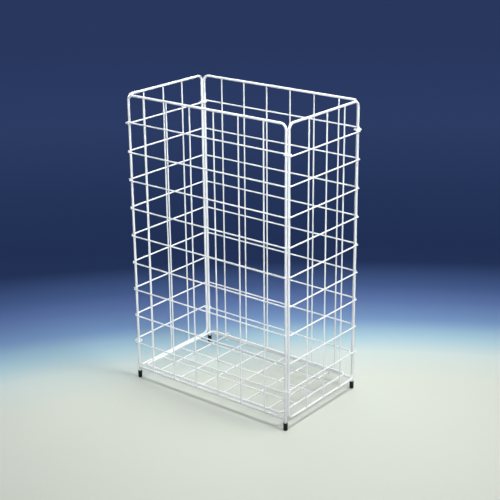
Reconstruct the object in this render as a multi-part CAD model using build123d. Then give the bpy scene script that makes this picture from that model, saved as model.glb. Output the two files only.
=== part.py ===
from build123d import *
from math import atan2, degrees, hypot, sqrt
import os

# A tall folding bin of coated welded wire, in millimetres.
# X runs along the wide front, Y from front to back, Z up from the floor.
# The origin is on the floor under the middle of the bin.

# Overall sizes, between the centres of the wires
panel_width = 402.0        # between the two side panels
panel_depth = 234.0        # between the front and back panels
panel_height = 599.4       # bottom rail to top wire
rail_height = 24.5         # floor to bottom rail

# Wire
frame_wire = 5.0
grid_wire = 3.0
ring_wire = 2.4
corner_bend = 12.0         # centre line radius of the frames' bent corners
weld_bite = 0.1            # how far welded wires sink into each other
saddle_reach = 1.5         # how far a butt-welded end wraps down the wire it meets
free_end_round = 0.8       # rounding of the grid wires' free ends

# Wall grid
row_pitch = 60.0
row_lift = 1.8             # how far the rows stand above the panel's middle
row_overrun = 3.0          # how far a row runs past the centre of its panel's post
wide_column_pitch = 60.2
side_column_pitch = 58.4
front_column_shift = -4.9  # how far each panel's columns stand off its middle
back_column_shift = 1.0
left_column_shift = -8.6
right_column_shift = 5.7

# Corner rings, each round one post of a wide panel and one of a side panel
post_gap = 0.6             # between the two posts of a corner
ring_slack = 0.2           # between a ring and the wires it holds
row_ring_gap = 0.05        # between a ring and the rows above and below it
ring_seam = 0.8            # open joint where a ring's ends meet

# Bottom panel
bottom_side_inset = 18.0   # side panel to the bottom panel's side wire
bottom_end_inset = 4.3     # front or back panel to the bottom panel's front or back wire
cross_pitch = 58.4         # wires that run front to back, under the frame
long_pitch = 60.0          # wires that run left to right, on the cross wires
cross_overrun = 2.5        # how far a cross wire runs past the centre of the frame's wire
seat_gap = 0.3             # between the cross wires' ends and the rails they rest on

# Bottom rings, which hang the bottom panel on the back rail
bottom_ring_slack = 0.3
bottom_ring_offset = 1.3   # between a bottom ring and the outer cross wire beside it

# Foot caps
cap_diameter = 8.8
cap_height = 16.0
cap_floor = 2.5            # plastic under the end of the leg
cap_edge_round = 2.2
cap_lip_round = 0.5

# Places worked out from the sizes
frame_radius = frame_wire / 2
grid_radius = grid_wire / 2
half_width = panel_width / 2
half_depth = panel_depth / 2
top_z = rail_height + panel_height
middle_z = rail_height + panel_height / 2
post_offset = (frame_wire + post_gap) / sqrt(2)
post_x = half_width - post_offset
post_y = half_depth - post_offset
row_offset = frame_radius + grid_radius - weld_bite
column_offset = row_offset - grid_wire + weld_bite
row_stagger = grid_radius + ring_wire / 2 + row_ring_gap


def rod(start, end, diameter):
    """A straight wire with square ends."""
    line = Vector(*end) - Vector(*start)
    return Solid.make_cylinder(diameter / 2, line.length, Plane(origin=start, z_dir=line))


def grid_rod(start, end):
    """A straight grid wire whose two ends stay free and are rounded by their coat."""
    wire = rod(start, end, grid_wire)
    rims = wire.edges().filter_by(GeomType.CIRCLE)
    return wire.fillet(free_end_round, rims)


def butt_rod(start, end, across, diameter):
    """A straight wire whose ends are shaped to sit on two frame wires that run along across.

    start and end lie level with the centres of the two frame wires, and the wire may be offset
    sideways from them. across gives the point on each frame wire's centre line beside that end.
    """
    axis = (Vector(*end) - Vector(*start)).normalized()
    inset = axis * (frame_radius - saddle_reach)
    wire = rod(Vector(*start) + inset, Vector(*end) - inset, diameter)
    half = across[2] * frame_wire
    for centre in across[:2]:
        middle = Vector(*centre)
        seat = rod(middle - half, middle + half, frame_wire - 2 * weld_bite)
        wire = wire - seat
    return wire.solid()


def bent_wire(path, diameter):
    """A wire bent to a path."""
    section = Plane(origin=path @ 0, z_dir=path % 0) * Circle(diameter / 2)
    return sweep(section, path=path).solid()


def closed_frame(plane, width, height):
    """A wire frame bent to a rectangle with round corners and welded shut."""
    outline = plane * RectangleRounded(width, height, corner_bend)
    return bent_wire(outline.face().outer_wire(), frame_wire)


def ring(centre, plane, inner_diameter, seam_angle):
    """A wire ring closed round two wires, with a narrow seam at seam_angle."""
    radius = (inner_diameter + ring_wire) / 2
    seam = degrees(ring_seam / radius)
    flat = Plane(origin=centre, x_dir=plane.x_dir, z_dir=plane.z_dir)
    arc = CenterArc((0, 0), radius, seam_angle + seam / 2, 360 - seam)
    return bent_wire(flat * arc, ring_wire)


def spread(clear_span, pitch):
    """Places, about a middle, of as many wires as fit in a clear span at a pitch."""
    count = int(clear_span / pitch)
    return [(i - (count - 1) / 2) * pitch for i in range(count)]


def row_places(stagger):
    """Heights of a panel's rows. The top and bottom rows make room for the corner rings."""
    places = [middle_z + row_lift + z for z in spread(panel_height - frame_wire, row_pitch)]
    places[0] -= stagger
    places[-1] += stagger
    return places


# Front and back panels

def wide_frame(y):
    """An inverted U of wire whose posts run on down as legs."""
    corners = [(-post_x, cap_floor), (-post_x, top_z), (post_x, top_z), (post_x, cap_floor)]
    path = FilletPolyline(*[(x, y, z) for x, z in corners], radius=corner_bend)
    return bent_wire(path, frame_wire)


def wide_rail(y):
    """The straight wire between the two legs."""
    ends = [(side * post_x, y, rail_height) for side in (-1, 1)]
    return butt_rod(*ends, (*ends, Vector(0, 0, 1)), frame_wire)


def wide_rows(y, outward):
    """The level wires across the outer face of a wide panel."""
    reach = post_x + row_overrun
    face = y + outward * row_offset
    return [grid_rod((-reach, face, z), (reach, face, z)) for z in row_places(row_stagger)]


def wide_columns(y, outward, shift):
    """The upright wires between the rail and the top wire, welded to the inside of the rows."""
    face = y + outward * column_offset
    columns = []
    for place in spread(2 * post_x - frame_wire, wide_column_pitch):
        x = place + shift
        seats = ((x, y, rail_height), (x, y, top_z), Vector(1, 0, 0))
        columns.append(butt_rod((x, face, rail_height), (x, face, top_z), seats, grid_wire))
    return columns


# Side panels

def side_frame(x):
    """A closed frame with round corners."""
    plane = Plane(origin=(x, 0, middle_z), x_dir=(0, 1, 0), z_dir=(1, 0, 0))
    return closed_frame(plane, 2 * post_y, panel_height)


def side_rows(x, outward):
    """The level wires across the outer face of a side panel."""
    reach = post_y + row_overrun
    face = x + outward * row_offset
    return [grid_rod((face, -reach, z), (face, reach, z)) for z in row_places(-row_stagger)]


def side_columns(x, outward, shift):
    """The upright wires between the frame's lower and upper runs."""
    face = x + outward * column_offset
    columns = []
    for place in spread(2 * post_y - frame_wire, side_column_pitch):
        y = place + shift
        seats = ((x, y, rail_height), (x, y, top_z), Vector(0, 1, 0))
        columns.append(butt_rod((face, y, rail_height), (face, y, top_z), seats, grid_wire))
    return columns


# Corner rings

def corner_ring(side, end, z):
    """A level ring round the two posts of a corner, with its seam turned into the bin."""
    centre = (side * (half_width + post_x) / 2, end * (half_depth + post_y) / 2, z)
    inner = 2 * frame_wire + post_gap + 2 * ring_slack
    return ring(centre, Plane.XY, inner, degrees(atan2(-end, -side)))


# Bottom panel

# The cross wires' rounded ends sit on the inner shoulders of the front and back rails
end_round_inset = bottom_end_inset - cross_overrun + free_end_round
end_round_reach = frame_radius + seat_gap + free_end_round
end_round_rise = sqrt(end_round_reach**2 - end_round_inset**2)
cross_z = rail_height + end_round_rise - free_end_round + grid_radius
bottom_z = cross_z + row_offset
long_z = cross_z + grid_wire - weld_bite
bottom_x = half_width - bottom_side_inset
bottom_y = half_depth - bottom_end_inset
cross_places = spread(2 * bottom_x - frame_wire, cross_pitch)
long_places = spread(2 * bottom_y - frame_wire, long_pitch)


def cross_wires():
    """Wires welded under the frame, whose ends rest on the front and back rails."""
    reach = bottom_y + cross_overrun
    return [grid_rod((x, -reach, cross_z), (x, reach, cross_z)) for x in cross_places]


def long_wires():
    """Wires welded on top of the cross wires and butted into the frame's sides."""
    wires = []
    for y in long_places:
        ends = [(side * bottom_x, y, long_z) for side in (-1, 1)]
        seats = [(side * bottom_x, y, bottom_z) for side in (-1, 1)]
        wires.append(butt_rod(*ends, (*seats, Vector(0, 1, 0)), grid_wire))
    return wires


def bottom_ring(side):
    """A ring round the back rail and the bottom panel's back wire: half of its hinge."""
    x = side * (cross_places[-1] - grid_radius - bottom_ring_offset - ring_wire / 2)
    centre = (x, (half_depth + bottom_y) / 2, (rail_height + bottom_z) / 2)
    apart = hypot(half_depth - bottom_y, bottom_z - rail_height)
    seam_angle = degrees(atan2(bottom_y - half_depth, rail_height - bottom_z))
    return ring(centre, Plane.YZ, apart + frame_wire + 2 * bottom_ring_slack, seam_angle)


# Foot caps

def foot_cap(side, end):
    """A plastic cap pushed on a leg, with a rounded foot and a soft lip."""
    upward = (Align.CENTER, Align.CENTER, Align.MIN)
    cap = Cylinder(cap_diameter / 2, cap_height, align=upward)
    cap = fillet(cap.edges().filter_by(GeomType.CIRCLE).sort_by(Axis.Z)[0], cap_edge_round)
    cap = fillet(cap.edges().filter_by(GeomType.CIRCLE).sort_by(Axis.Z)[-1], cap_lip_round)
    cap -= Pos(0, 0, cap_floor) * Cylinder(frame_radius, cap_height, align=upward)
    return (Pos(side * post_x, end * half_depth, 0) * cap).solid()


# All the pieces, one entry for each

sides = {"left": -1, "right": 1}
ends = {"front": -1, "back": 1}
column_shifts = {
    "front": front_column_shift,
    "back": back_column_shift,
    "left": left_column_shift,
    "right": right_column_shift,
}
ring_levels = {"lower": row_places(0)[0], "upper": row_places(0)[-1]}

pieces = {}
for name, end in ends.items():
    pieces[f"{name}_frame"] = wide_frame(end * half_depth)
    pieces[f"{name}_bottom_rail"] = wide_rail(end * half_depth)
    pieces[f"{name}_row_wires"] = wide_rows(end * half_depth, end)
    pieces[f"{name}_column_wires"] = wide_columns(end * half_depth, end, column_shifts[name])
for name, side in sides.items():
    pieces[f"{name}_frame"] = side_frame(side * half_width)
    pieces[f"{name}_row_wires"] = side_rows(side * half_width, side)
    pieces[f"{name}_column_wires"] = side_columns(side * half_width, side, column_shifts[name])
for end_name, end in ends.items():
    for side_name, side in sides.items():
        corner = f"{end_name}_{side_name}"
        for level, z in ring_levels.items():
            pieces[f"{level}_ring_{corner}"] = corner_ring(side, end, z)
        pieces[f"foot_cap_{corner}"] = foot_cap(side, end)
pieces["bottom_frame"] = closed_frame(
    Plane(origin=(0, 0, bottom_z)), 2 * bottom_x, 2 * bottom_y)
pieces["bottom_cross_wires"] = cross_wires()
pieces["bottom_long_wires"] = long_wires()
for name, side in sides.items():
    pieces[f"bottom_ring_{name}"] = bottom_ring(side)

os.makedirs("parts", exist_ok=True)
for name, piece in pieces.items():
    shape = Compound(label=name, children=piece) if isinstance(piece, list) else piece
    export_step(shape, f"parts/{name}.step")
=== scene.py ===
import math

import bpy
import numpy as np
from mathutils import Matrix, Vector


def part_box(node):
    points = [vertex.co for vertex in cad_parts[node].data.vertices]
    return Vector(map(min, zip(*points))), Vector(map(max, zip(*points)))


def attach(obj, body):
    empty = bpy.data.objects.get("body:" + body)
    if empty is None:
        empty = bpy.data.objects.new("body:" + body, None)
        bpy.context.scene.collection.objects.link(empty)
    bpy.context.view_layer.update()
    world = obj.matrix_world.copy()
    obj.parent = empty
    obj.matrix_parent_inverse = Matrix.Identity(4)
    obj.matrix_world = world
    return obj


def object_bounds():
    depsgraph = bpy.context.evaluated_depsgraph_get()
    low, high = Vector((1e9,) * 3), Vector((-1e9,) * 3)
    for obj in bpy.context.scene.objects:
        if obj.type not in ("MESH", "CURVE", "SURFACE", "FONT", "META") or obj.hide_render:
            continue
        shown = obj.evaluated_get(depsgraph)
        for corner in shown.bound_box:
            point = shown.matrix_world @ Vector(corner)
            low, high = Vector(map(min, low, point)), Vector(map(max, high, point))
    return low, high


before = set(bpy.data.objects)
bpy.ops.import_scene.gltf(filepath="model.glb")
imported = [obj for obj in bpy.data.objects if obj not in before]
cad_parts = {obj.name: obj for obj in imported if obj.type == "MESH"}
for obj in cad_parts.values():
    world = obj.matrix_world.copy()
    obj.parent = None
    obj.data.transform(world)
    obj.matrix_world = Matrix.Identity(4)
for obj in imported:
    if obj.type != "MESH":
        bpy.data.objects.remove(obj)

cad_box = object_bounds()


# The wire: drawn steel, bent and welded into panels, then dipped in white plastic.
# The coat is smooth and glossy, pure white, with the faint orange-peel skin and the
# slow waves in thickness that a dipped coat has.

MM = 0.001


def feed(slot, value):
    """Links a Socket to a node's input, or writes a plain value there."""
    if isinstance(value, Socket):
        slot.id_data.links.new(value.output, slot)
    else:
        slot.default_value = value


class Socket:
    """A shader value that can be used in sums. Each sum adds its Math node."""

    def __init__(self, output):
        self.output = output

    def _math(self, operation, *values):
        node = self.output.id_data.nodes.new("ShaderNodeMath")
        node.operation = operation
        for slot, value in zip(node.inputs, values):
            feed(slot, value)
        return Socket(node.outputs[0])

    def __add__(self, other):
        return self._math("ADD", self, other)

    def __sub__(self, other):
        return self._math("SUBTRACT", self, other)

    def __rsub__(self, other):
        return self._math("SUBTRACT", other, self)

    def __mul__(self, other):
        return self._math("MULTIPLY", self, other)

    def __pow__(self, other):
        return self._math("POWER", self, other)

    __radd__ = __add__
    __rmul__ = __mul__


class Finish:
    """The nodes of a material or of the world, with one method that adds any node."""

    def __init__(self, owner):
        owner.use_nodes = True
        self.owner = owner
        self.nodes = owner.node_tree.nodes

    def add(self, kind, settings=None, output=0, **values):
        """Adds a node. A value's key is a socket's name, or i and its number."""
        node = self.nodes.new(kind)
        for key, value in (settings or {}).items():
            if key == "stops":
                self._set_stops(node.color_ramp.elements, value)
            else:
                setattr(node, key, value)
        for key, value in values.items():
            feed(node.inputs[int(key[1:]) if key[1:].isdigit() else key], value)
        return Socket(node.outputs[output])

    @staticmethod
    def _set_stops(elements, stops):
        """Gives a colour ramp its stops, each a place from 0 to 1 and a colour."""
        while len(elements) < len(stops):
            elements.new(1.0)
        for element, (place, colour) in zip(elements, stops):
            element.position = place
            element.color = (*colour, 1)

    def mix(self, share, first, second):
        """A colour that goes from first to second as share goes from 0 to 1."""
        first, second = (c if isinstance(c, Socket) else (*c, 1) for c in (first, second))
        return self.add("ShaderNodeMix", {"data_type": "RGBA"}, output=2, i0=share, i6=first, i7=second)

    def set(self, node="Principled BSDF", **values):
        """Feeds the sockets of a node that was there from the start, and returns the owner."""
        for key, value in values.items():
            feed(self.nodes[node].inputs[key.replace("_", " ")], value)
        return self.owner


patches_per_metre = 45.0           # blotches where the coat ran thinner
waves_per_metre = 160.0            # slow waves in its thickness
peel_per_metre = 900.0             # the orange peel of its skin
patch_share = 0.7                  # how much the blotches say where it is thin, and the waves the rest
thin_from, thin_to = 0.45, 0.70    # the noise where it begins to be thin, and where it is thinnest
thin_dulls = 0.10                  # how much rougher it is there
peel_dulls = 0.06                  # how much its roughness varies with the orange peel
peel_height = 0.3                  # how high the orange peel stands, next to the waves
skin_strength, skin_depth = 0.15, 0.1 * MM


def coated_white(name, colour, thin_colour, roughness):
    """Dipped plastic on wire: a wavy gloss skin, a little darker and duller where it is thin."""
    finish = Finish(bpy.data.materials.new(name))
    place = finish.add("ShaderNodeTexCoord", output="Object")
    patches = finish.add("ShaderNodeTexNoise", Vector=place,
                         Scale=patches_per_metre, Detail=3.0, Roughness=0.55)
    waves = finish.add("ShaderNodeTexNoise", Vector=place, Scale=waves_per_metre, Detail=1.0)
    peel = finish.add("ShaderNodeTexNoise", Vector=place, Scale=peel_per_metre, Detail=2.0)
    thin = finish.add("ShaderNodeMapRange", {"interpolation_type": "SMOOTHSTEP"},
                      Value=patch_share * patches + (1 - patch_share) * waves, i1=thin_from, i2=thin_to)
    skin = finish.add("ShaderNodeBump", Strength=skin_strength, Distance=skin_depth,
                      Height=peel_height * peel + waves)
    return finish.set(
        Base_Color=finish.mix(thin, colour, thin_colour),
        Roughness=roughness + thin_dulls * thin + peel_dulls * (peel - 0.5),
        Normal=skin,
        IOR=1.5,
    )


def dress(node, material):
    """Gives a CAD node its material."""
    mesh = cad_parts[node].data
    mesh.materials.clear()
    mesh.materials.append(material)


wire_white = coated_white(
    "white_dip_coat", colour=(0.88, 0.885, 0.88), thin_colour=(0.81, 0.815, 0.81), roughness=0.24)
for wall in ("front", "back", "left", "right"):
    for part in ("frame", "row_wires", "column_wires"):
        dress(f"{wall}_{part}", wire_white)
for wall in ("front", "back"):
    dress(f"{wall}_bottom_rail", wire_white)
for part in ("frame", "cross_wires", "long_wires"):
    dress(f"bottom_{part}", wire_white)


# The welds: each crossing is spot welded and each butt end is melted on before the dip.
# The plastic gathers in the corner round every weld as a small smooth collar,
# so the wires flow into each other and don't just touch.

scene = bpy.context.scene
X, Y, Z = range(3)
unit_x, unit_y, unit_z = np.eye(3)

rail_low, rail_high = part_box("front_bottom_rail")
frame_radius = (rail_high.z - rail_low.z) / 2
rail_level = (rail_high.z + rail_low.z) / 2
row_low, row_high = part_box("front_row_wires")
grid_radius = (row_high.y - row_low.y) / 2
wire_gap = 5 * MM              # like wires stand further apart than this

collar_steps = 24              # points in a ring of a collar
edge_share = 0.985             # how far round a wire a collar may reach, as a share of its radius
turn = np.linspace(0, 2 * math.pi, collar_steps, endpoint=False)
cosine, sine = np.cos(turn), np.sin(turn)

crossing_opening = 0.6 * MM    # how far apart two crossed wires are where their collar ends
crossing_limit = 0.97          # the most that it reaches out, as a share of the thinner wire's radius
crossing_flank = 0.80          # the collar's reach beside each wire, as a share of its full reach
crossing_waist = 0.72          # and in the hollow halfway between the wires
crossing_core = 0.30           # and at the ring that closes it inside the weld
# The rings of a crossing's collar: share of its reach, and of the way from the lower wire to the upper
crossing_rings = (
    (1, 0), (crossing_flank, 0.25), (crossing_waist, 0.5), (crossing_flank, 0.75), (1, 1),
    (crossing_core, 0.5),
)

butt_size = 1.0 * MM           # height and width of the collar round a butt end
butt_steps = 5                 # rings from its outer edge up to the butted wire
butt_pull = 1.5                # how strongly it hollows towards the corner
butt_core = 0.4                # the ring that closes it inside, as a share of the butted wire's radius


def wire_places(node, axis):
    """Middles of a node's parallel wires along one axis, from its vertices, to the micrometre."""
    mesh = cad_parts[node].data
    places = np.empty(len(mesh.vertices) * 3, np.float32)
    mesh.vertices.foreach_get("co", places)
    values = np.unique(places.reshape(-1, 3)[:, axis].round(6))
    groups = np.split(values, np.flatnonzero(np.diff(values) > wire_gap) + 1)
    return [float(group[0] + group[-1]) / 2 for group in groups]


def drop(radius, offset):
    """How far a round wire's skin lies below its crest, at an offset from its middle."""
    inside = np.clip(np.abs(offset), 0, edge_share * radius)
    return radius - np.sqrt(radius ** 2 - inside ** 2)


def crossing_collar(lower, upper):
    """Rings of points round the weld of two crossed wires.

    x runs along the lower wire, y along the upper one, and z from the lower to the upper.
    """
    reach = np.sqrt(2 * crossing_opening / (sine ** 2 / lower + cosine ** 2 / upper))
    limit = crossing_limit * min(lower, upper)
    reach = np.minimum(reach, limit / np.maximum(np.abs(cosine), np.abs(sine)))
    rings = []
    for share, level in crossing_rings:
        x, y = reach * share * cosine, reach * share * sine
        bottom, top = -drop(lower, y), drop(upper, x)
        rings.append(np.stack([x, y, bottom + (top - bottom) * level], 1))
    return np.array(rings)


def butt_collar(wire, offset=0.0):
    """Rings of points round a wire that ends on a frame wire.

    The frame wire runs along x, the butted wire along z, offset from it towards +y.
    """
    def ring(reach, lift):
        side = offset + reach * sine
        seat = frame_radius - drop(frame_radius, side)
        side = np.clip(side, -edge_share * frame_radius, edge_share * frame_radius)
        return np.stack([reach * cosine, side, seat + lift], 1)

    corner = ring(wire, 0)
    high = ring(wire, butt_size)
    low = ring(wire + butt_size, 0)
    rings = []
    for share in np.linspace(1, 0, butt_steps):
        pull = butt_pull * share * (1 - share)
        rings.append((high * (1 - share) + low * share) * (1 - pull) + corner * pull)
    rings.append(ring(butt_core * wire, -butt_size))
    return np.array(rings)


def weld_piece(name, body, collars):
    """One mesh of many collars. Each collar has its rings, its place and its three axes."""
    points, faces = [], []
    for rings, place, axes in collars:
        start = len(points)
        points += (rings.reshape(-1, 3) @ np.array(axes) + place).tolist()
        mirrored = np.linalg.det(axes) < 0
        for ring in range(len(rings)):
            here = start + ring * collar_steps
            there = start + (ring + 1) % len(rings) * collar_steps
            for step in range(collar_steps):
                beside = (step + 1) % collar_steps
                face = (here + step, here + beside, there + beside, there + step)
                faces.append(face[::-1] if mirrored else face)
    mesh = bpy.data.meshes.new(name)
    mesh.from_pydata(points, [], faces)
    mesh.shade_smooth()
    mesh.materials.append(wire_white)
    piece = bpy.data.objects.new(name, mesh)
    scene.collection.objects.link(piece)
    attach(piece, body)


grid_on_grid = crossing_collar(grid_radius, grid_radius)
row_on_post = crossing_collar(frame_radius, grid_radius)
cross_on_frame = crossing_collar(grid_radius, frame_radius)
rail_on_post = butt_collar(frame_radius)

# The walls: rows lie across the columns and the posts, and columns end on the frame and the rail
wall_axes = {
    "front": (unit_x, -unit_y), "back": (unit_x, unit_y),
    "left": (unit_y, -unit_x), "right": (unit_y, unit_x),
}
for wall, (along, outward) in wall_axes.items():
    run, across = int(np.argmax(along)), int(np.argmax(np.abs(outward)))
    low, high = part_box(f"{wall}_frame")
    plane = np.abs(outward) * (low[across] + high[across]) / 2
    columns = wire_places(f"{wall}_column_wires", run)
    posts = (low[run] + frame_radius, high[run] - frame_radius)
    row_middle = np.abs(outward) * wire_places(f"{wall}_row_wires", across)[0]
    row_back = row_middle - outward * grid_radius
    column_offset = abs(wire_places(f"{wall}_column_wires", across)[0] - plane[across])
    column_on_frame = butt_collar(grid_radius, column_offset)
    collars = []
    for row in wire_places(f"{wall}_row_wires", Z):
        for collar, uprights in ((grid_on_grid, columns), (row_on_post, posts)):
            for upright in uprights:
                place = along * upright + row_back + unit_z * row
                collars.append((collar, place, (unit_z, along, outward)))
    for column in columns:
        for level, up in ((rail_level, 1), (high.z - frame_radius, -1)):
            place = along * column + plane + unit_z * level
            collars.append((column_on_frame, place, (along, outward, unit_z * up)))
    if wall in ("front", "back"):
        for post, inward in zip(posts, (1, -1)):
            place = along * post + plane + unit_z * rail_level
            collars.append((rail_on_post, place, (unit_z, outward, along * inward)))
    weld_piece(f"{wall}_welds", "walls", collars)

# The bottom panel lies flat: its cross wires run under the frame and under the long wires
low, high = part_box("bottom_frame")
frame_level = (low.z + high.z) / 2
cross_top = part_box("bottom_cross_wires")[1].z
long_low, long_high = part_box("bottom_long_wires")
long_offset = frame_level - (long_low.z + long_high.z) / 2
long_on_frame = butt_collar(grid_radius, long_offset)
longs = wire_places("bottom_long_wires", Y)
long_sides = (low.y + frame_radius, high.y - frame_radius)
collars = []
for cross in wire_places("bottom_cross_wires", X):
    for collar, over in ((grid_on_grid, longs), (cross_on_frame, long_sides)):
        for y in over:
            place = unit_x * cross + unit_y * y + unit_z * cross_top
            collars.append((collar, place, (unit_y, unit_x, unit_z)))
for y in longs:
    for x, inward in ((low.x + frame_radius, 1), (high.x - frame_radius, -1)):
        place = unit_x * x + unit_y * y + unit_z * frame_level
        collars.append((long_on_frame, place, (unit_y, -unit_z, unit_x * inward)))
weld_piece("bottom_welds", "bottom", collars)


# The foot caps: soft black plastic, pushed on the four legs so the bin doesn't scratch.
# Moulded with a fine matt grain, they shine a little on the rounded edges and are
# greyed where they meet the floor.

grains_per_metre = 1500.0
scuffs_per_metre = 350.0
grain_strength, grain_depth = 0.3, 0.2 * MM
sole_height = 2.5 * MM         # how far up the caps are greyed
scuff_greys = 0.5              # how grey the scuffs turn them there
cap_roughness = 0.40
scuff_dulls = 0.2              # how much rougher the scuffs are
black, worn_grey = (0.003, 0.003, 0.003), (0.05, 0.05, 0.05)


def black_plastic():
    """Moulded black: a matt grain, and grey scuffs that fade out above the sole."""
    finish = Finish(bpy.data.materials.new("black_cap_plastic"))
    place = finish.add("ShaderNodeTexCoord", output="Object")
    height = finish.add("ShaderNodeSeparateXYZ", output=Z, Vector=place)
    grain = finish.add("ShaderNodeTexNoise", Vector=place, Scale=grains_per_metre, Detail=2.0)
    scuff = finish.add("ShaderNodeTexNoise", Vector=place, Scale=scuffs_per_metre, Detail=4.0)
    clean = finish.add("ShaderNodeMapRange", {"interpolation_type": "SMOOTHSTEP"},
                       Value=height, i1=0.0, i2=sole_height)
    bump = finish.add("ShaderNodeBump", Strength=grain_strength, Distance=grain_depth, Height=grain)
    return finish.set(
        Base_Color=finish.mix((1 - clean) * scuff * scuff_greys, black, worn_grey),
        Roughness=cap_roughness + scuff_dulls * scuff,
        Normal=bump,
        Specular_IOR_Level=0.22,
    )


cap_black = black_plastic()
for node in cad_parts:
    if node.startswith("foot_cap"):
        dress(node, cap_black)


# The rings: two on each corner and two on the back rail, bent from thinner coated wire.
# Each was pinched shut round the wires with pliers, so its coat is a shade duller.

ring_white = coated_white(
    "white_ring_coat", colour=(0.85, 0.855, 0.85), thin_colour=(0.76, 0.765, 0.76), roughness=0.32)
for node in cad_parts:
    if "_ring_" in node:
        dress(node, ring_white)


# The studio: a floor whose paint holds a pale, painted pool of light round the bin and sinks into a
# deep blue backdrop a little way behind it.
# One lamp hangs high and close, so the top is whiter than the foot and the shadow is crisp.
# A weak one beside the camera favours the top, and two behind keep the far wires white.

azimuth = math.radians(38.57)          # the side of the bin that the studio is set up for
toward_back = Vector((-math.sin(azimuth), math.cos(azimuth), 0))
toward_side = Vector((math.cos(azimuth), math.sin(azimuth), 0))
light_pool_middle = 0.20 * toward_side - 0.42 * toward_back    # the middle of the floor's painted pool of light
light_pool_stretch = 1.8                     # how much wider than deep it is
floor_bounce = 0.55                    # how much of the paint's brightness lights the wires
backdrop_reach = 4.3
# The floor's paint, whose pale middle is a painted pool of light, and the glow of the backdrop, by
# their distance from the middle of that pool
floor_paint_and_light_pool = [
    (0.45, (0.595, 0.615, 0.545)),
    (0.57, (0.54, 0.61, 0.58)),
    (0.65, (0.345, 0.50, 0.565)),
    (0.76, (0.150, 0.245, 0.425)),
    (0.87, (0.088, 0.138, 0.292)),
    (0.97, (0.042, 0.070, 0.160)),
    (1.15, (0.0, 0.0, 0.0)),
]
backdrop_glow = [
    (0.82, (0.0, 0.0, 0.0)),
    (0.97, (0.009, 0.018, 0.054)),
    (1.15, (0.016, 0.031, 0.092)),
    (1.31, (0.0148, 0.029, 0.087)),
    (1.75, (0.0176, 0.034, 0.100)),
    (2.67, (0.0250, 0.045, 0.126)),
    (backdrop_reach, (0.0222, 0.038, 0.114)),
]


def seen_share(finish):
    """1 for what the camera sees, straight, mirrored or through glass, and 0 for other light."""
    rays = ("Is Camera Ray", "Is Glossy Ray", "Is Transmission Ray")
    return sum(finish.add("ShaderNodeLightPath", output=ray) for ray in rays)


def studio_floor():
    """Matt paint with a painted pool of light: pale round the bin, it gives way to the backdrop's glow
    further out.
    """
    finish = Finish(bpy.data.materials.new("studio_floor"))
    place = finish.add("ShaderNodeNewGeometry")
    offset = finish.add("ShaderNodeVectorMath", {"operation": "SUBTRACT"}, i0=place, i1=light_pool_middle)
    deep, wide = (
        finish.add("ShaderNodeVectorMath", {"operation": "DOT_PRODUCT"}, output=1, i0=offset, i1=axis)
        for axis in (toward_back, toward_side / light_pool_stretch))
    out = (deep * deep + wide * wide) ** 0.5 * (1 / backdrop_reach)
    ramps = []
    for colours in (floor_paint_and_light_pool, backdrop_glow):
        stops = [(metres / backdrop_reach, colour) for metres, colour in colours]
        ramps.append(finish.add("ShaderNodeValToRGB", {"stops": stops}, Fac=out))
    # paint is the floor's colour, with a painted pool of light in its pale middle
    paint, glow = ramps
    brightness = floor_bounce + (1 - floor_bounce) * seen_share(finish)
    return finish.set(
        Base_Color=finish.mix(brightness, (0.0, 0.0, 0.0), paint),
        Emission_Color=glow,
        Emission_Strength=1.0,
        Roughness=1.0,
        Specular_IOR_Level=0.0,
    )


floor_radius = 9.0
rim_steps = 96
rim_angles = [2 * math.pi * step / rim_steps for step in range(rim_steps)]
rim = [(floor_radius * math.cos(angle), floor_radius * math.sin(angle), 0) for angle in rim_angles]
floor_mesh = bpy.data.meshes.new("floor")
floor_mesh.from_pydata(rim, [], [tuple(range(rim_steps))])
floor_mesh.materials.append(studio_floor())
floor = bpy.data.objects.new("floor", floor_mesh)
scene.collection.objects.link(floor)


def lamp(name, aside, behind, height, size, spread, aim_height, power, colour):
    """A square soft lamp, placed from the bin's middle and aimed at a height on its axis."""
    light = bpy.data.lights.new(name, "AREA")
    light.size = size
    light.spread = math.radians(spread)
    light.energy = power
    light.color = colour
    holder = bpy.data.objects.new(name, light)
    holder.location = toward_side * aside + toward_back * behind + Vector((0, 0, height))
    aim = Vector((0, 0, aim_height)) - holder.location
    holder.rotation_euler = aim.to_track_quat("-Z", "Y").to_euler()
    scene.collection.objects.link(holder)


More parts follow.
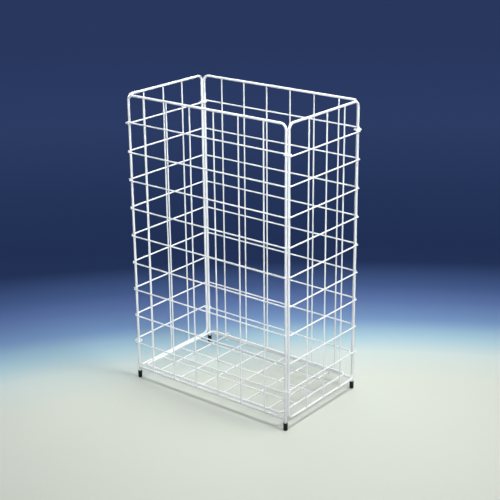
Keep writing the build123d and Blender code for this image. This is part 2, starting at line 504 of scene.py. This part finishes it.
bin_middle = cad_box[1].z / 2
below_top = 0.9 * cad_box[1].z
lamp("key", aside=0.50, behind=-0.35, height=2.1, size=0.5, spread=180,
     aim_height=bin_middle, power=31, colour=(1.0, 1.0, 0.98))
lamp("front", aside=0.25, behind=-1.9, height=1.4, size=1.0, spread=46,
     aim_height=below_top, power=4.2, colour=(0.91, 0.96, 1.0))
lamp("back", aside=0.3, behind=2.4, height=1.7, size=1.4, spread=180,
     aim_height=bin_middle, power=31, colour=(0.90, 0.95, 1.0))
lamp("low back", aside=-0.9, behind=2.1, height=0.8, size=1.2, spread=50,
     aim_height=below_top, power=3.6, colour=(0.97, 0.99, 1.0))

sky = Finish(bpy.data.worlds.new("studio"))
far_colour = backdrop_glow[-1][1]
soft_light = sky.add("ShaderNodeBackground", Color=(0.82, 0.90, 1.0, 1), Strength=0.21)
far_blue = sky.add("ShaderNodeBackground", Color=(*far_colour, 1), Strength=1.0)
either = sky.add("ShaderNodeMixShader", i0=seen_share(sky), i1=soft_light, i2=far_blue)
scene.world = sky.set("World Output", Surface=either)


# The camera stands where the photograph was taken: high in front of the right corner.
# Its place and angle are fitted to the crossings of the wires. It has no shift, so the
# bin stays in the middle of the views from other sides.

photo_size = 500                       # pixels, the same both ways
focal_pixels = 1214.8
elevation, roll = math.radians(20.16), math.radians(-0.50)
camera_distance = 2.5056
slide_right, slide_up = 0.0137, -0.0095

toward_camera = Vector((
    math.sin(azimuth) * math.cos(elevation),
    -math.cos(azimuth) * math.cos(elevation),
    math.sin(elevation),
))
camera_up = toward_camera.cross(toward_side)
camera_data = bpy.data.cameras.new("camera")
camera_data.sensor_width = 36
camera_data.lens = camera_data.sensor_width * focal_pixels / photo_size
camera_data.clip_start = 0.05
camera_data.clip_end = 50
camera = bpy.data.objects.new("camera", camera_data)
centre = Vector((0, 0, bin_middle))
camera.location = (
    centre + toward_camera * camera_distance + toward_side * slide_right + camera_up * slide_up)
image_right = toward_side * math.cos(roll) + camera_up * math.sin(roll)
image_up = camera_up * math.cos(roll) - toward_side * math.sin(roll)
camera.rotation_mode = "QUATERNION"
camera.rotation_quaternion = Matrix((image_right, image_up, toward_camera)).transposed().to_quaternion()
scene.collection.objects.link(camera)
scene.camera = camera
scene.view_settings.view_transform = "Standard"
